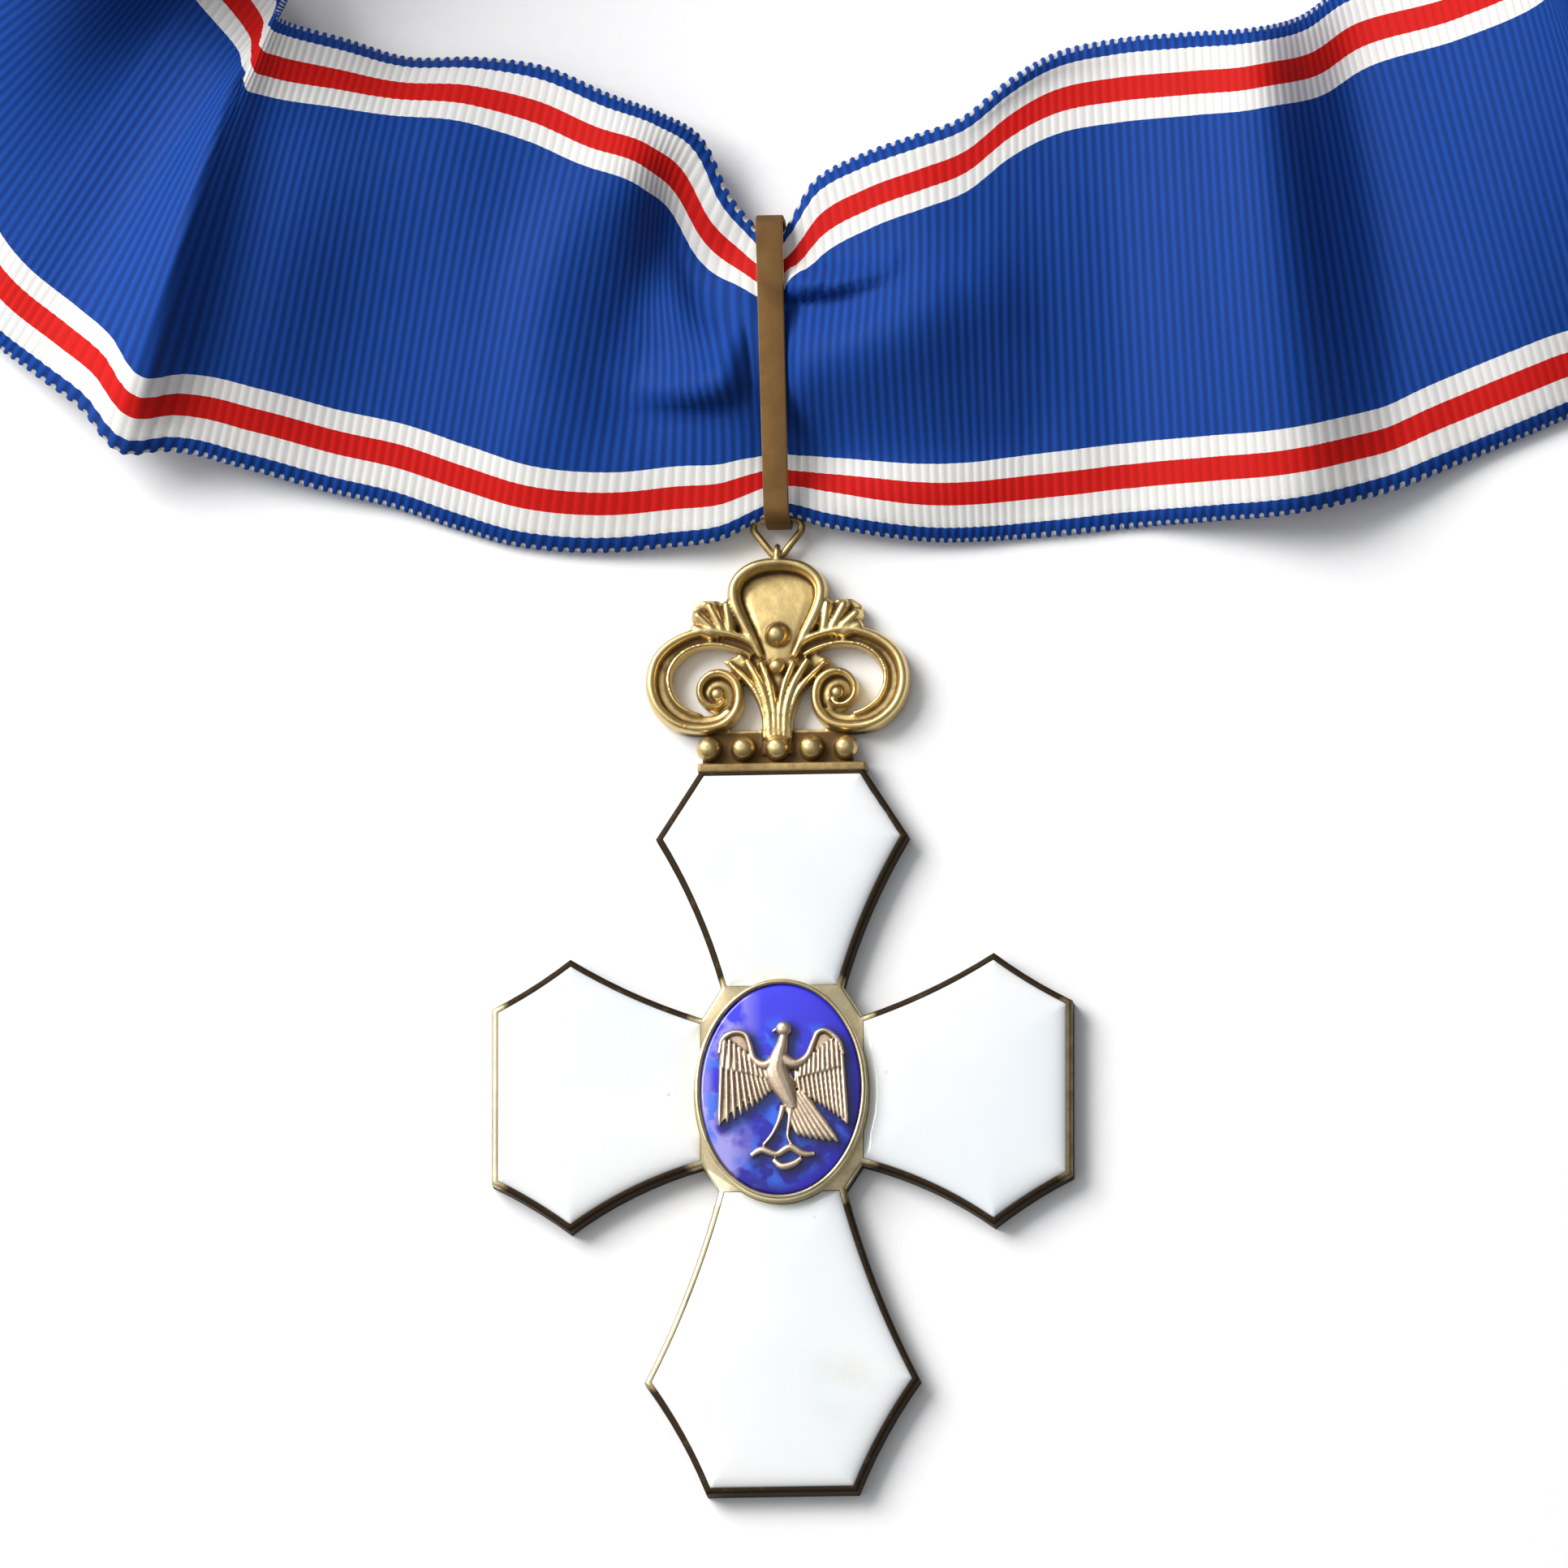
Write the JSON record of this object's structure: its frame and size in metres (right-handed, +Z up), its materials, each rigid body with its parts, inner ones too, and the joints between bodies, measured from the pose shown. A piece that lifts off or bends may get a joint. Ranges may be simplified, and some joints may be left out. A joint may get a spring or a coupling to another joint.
{
  "type": "order neck badge",
  "caption": "Enamelled order cross with openwork crest and oval bird medallion, on a wire link and strip loop that hold a wide ribbed neck ribbon closed at the back.",
  "frame": {"origin": "middle of the cross on its flat back, where it rests on the table", "axes": "+Z up from the table through the enamelled face, +Y from the cross to the ribbon, +X to the viewer's right"},
  "size_m": [0.1758, 0.2495, 0.0454],
  "materials": {
    "gilt_metal": "fire gilt, worn, brown in the recesses",
    "white_enamel": "glossy fired enamel",
    "blue_enamel": "glossy translucent enamel",
    "rose_gilt": "cast, matt with bright edges",
    "aged_brass": "aged, brushed along the strip",
    "ribbed_silk": "ribbed silk, blue with blue, white, red and white edge stripes"
  },
  "bodies": {
    "root": {"cross_frame": "gilt_metal", "enamel_upper": "white_enamel", "enamel_left": "white_enamel", "enamel_right": "white_enamel", "enamel_lower": "white_enamel", "medallion_plate": "gilt_metal", "medallion_enamel": "blue_enamel", "heraldic_bird": "rose_gilt", "link_ring": "gilt_metal", "strip_loop": "aged_brass", "ribbon": "ribbed_silk", "ribbon_clasp": "aged_brass"}
  },
  "joints": []
}
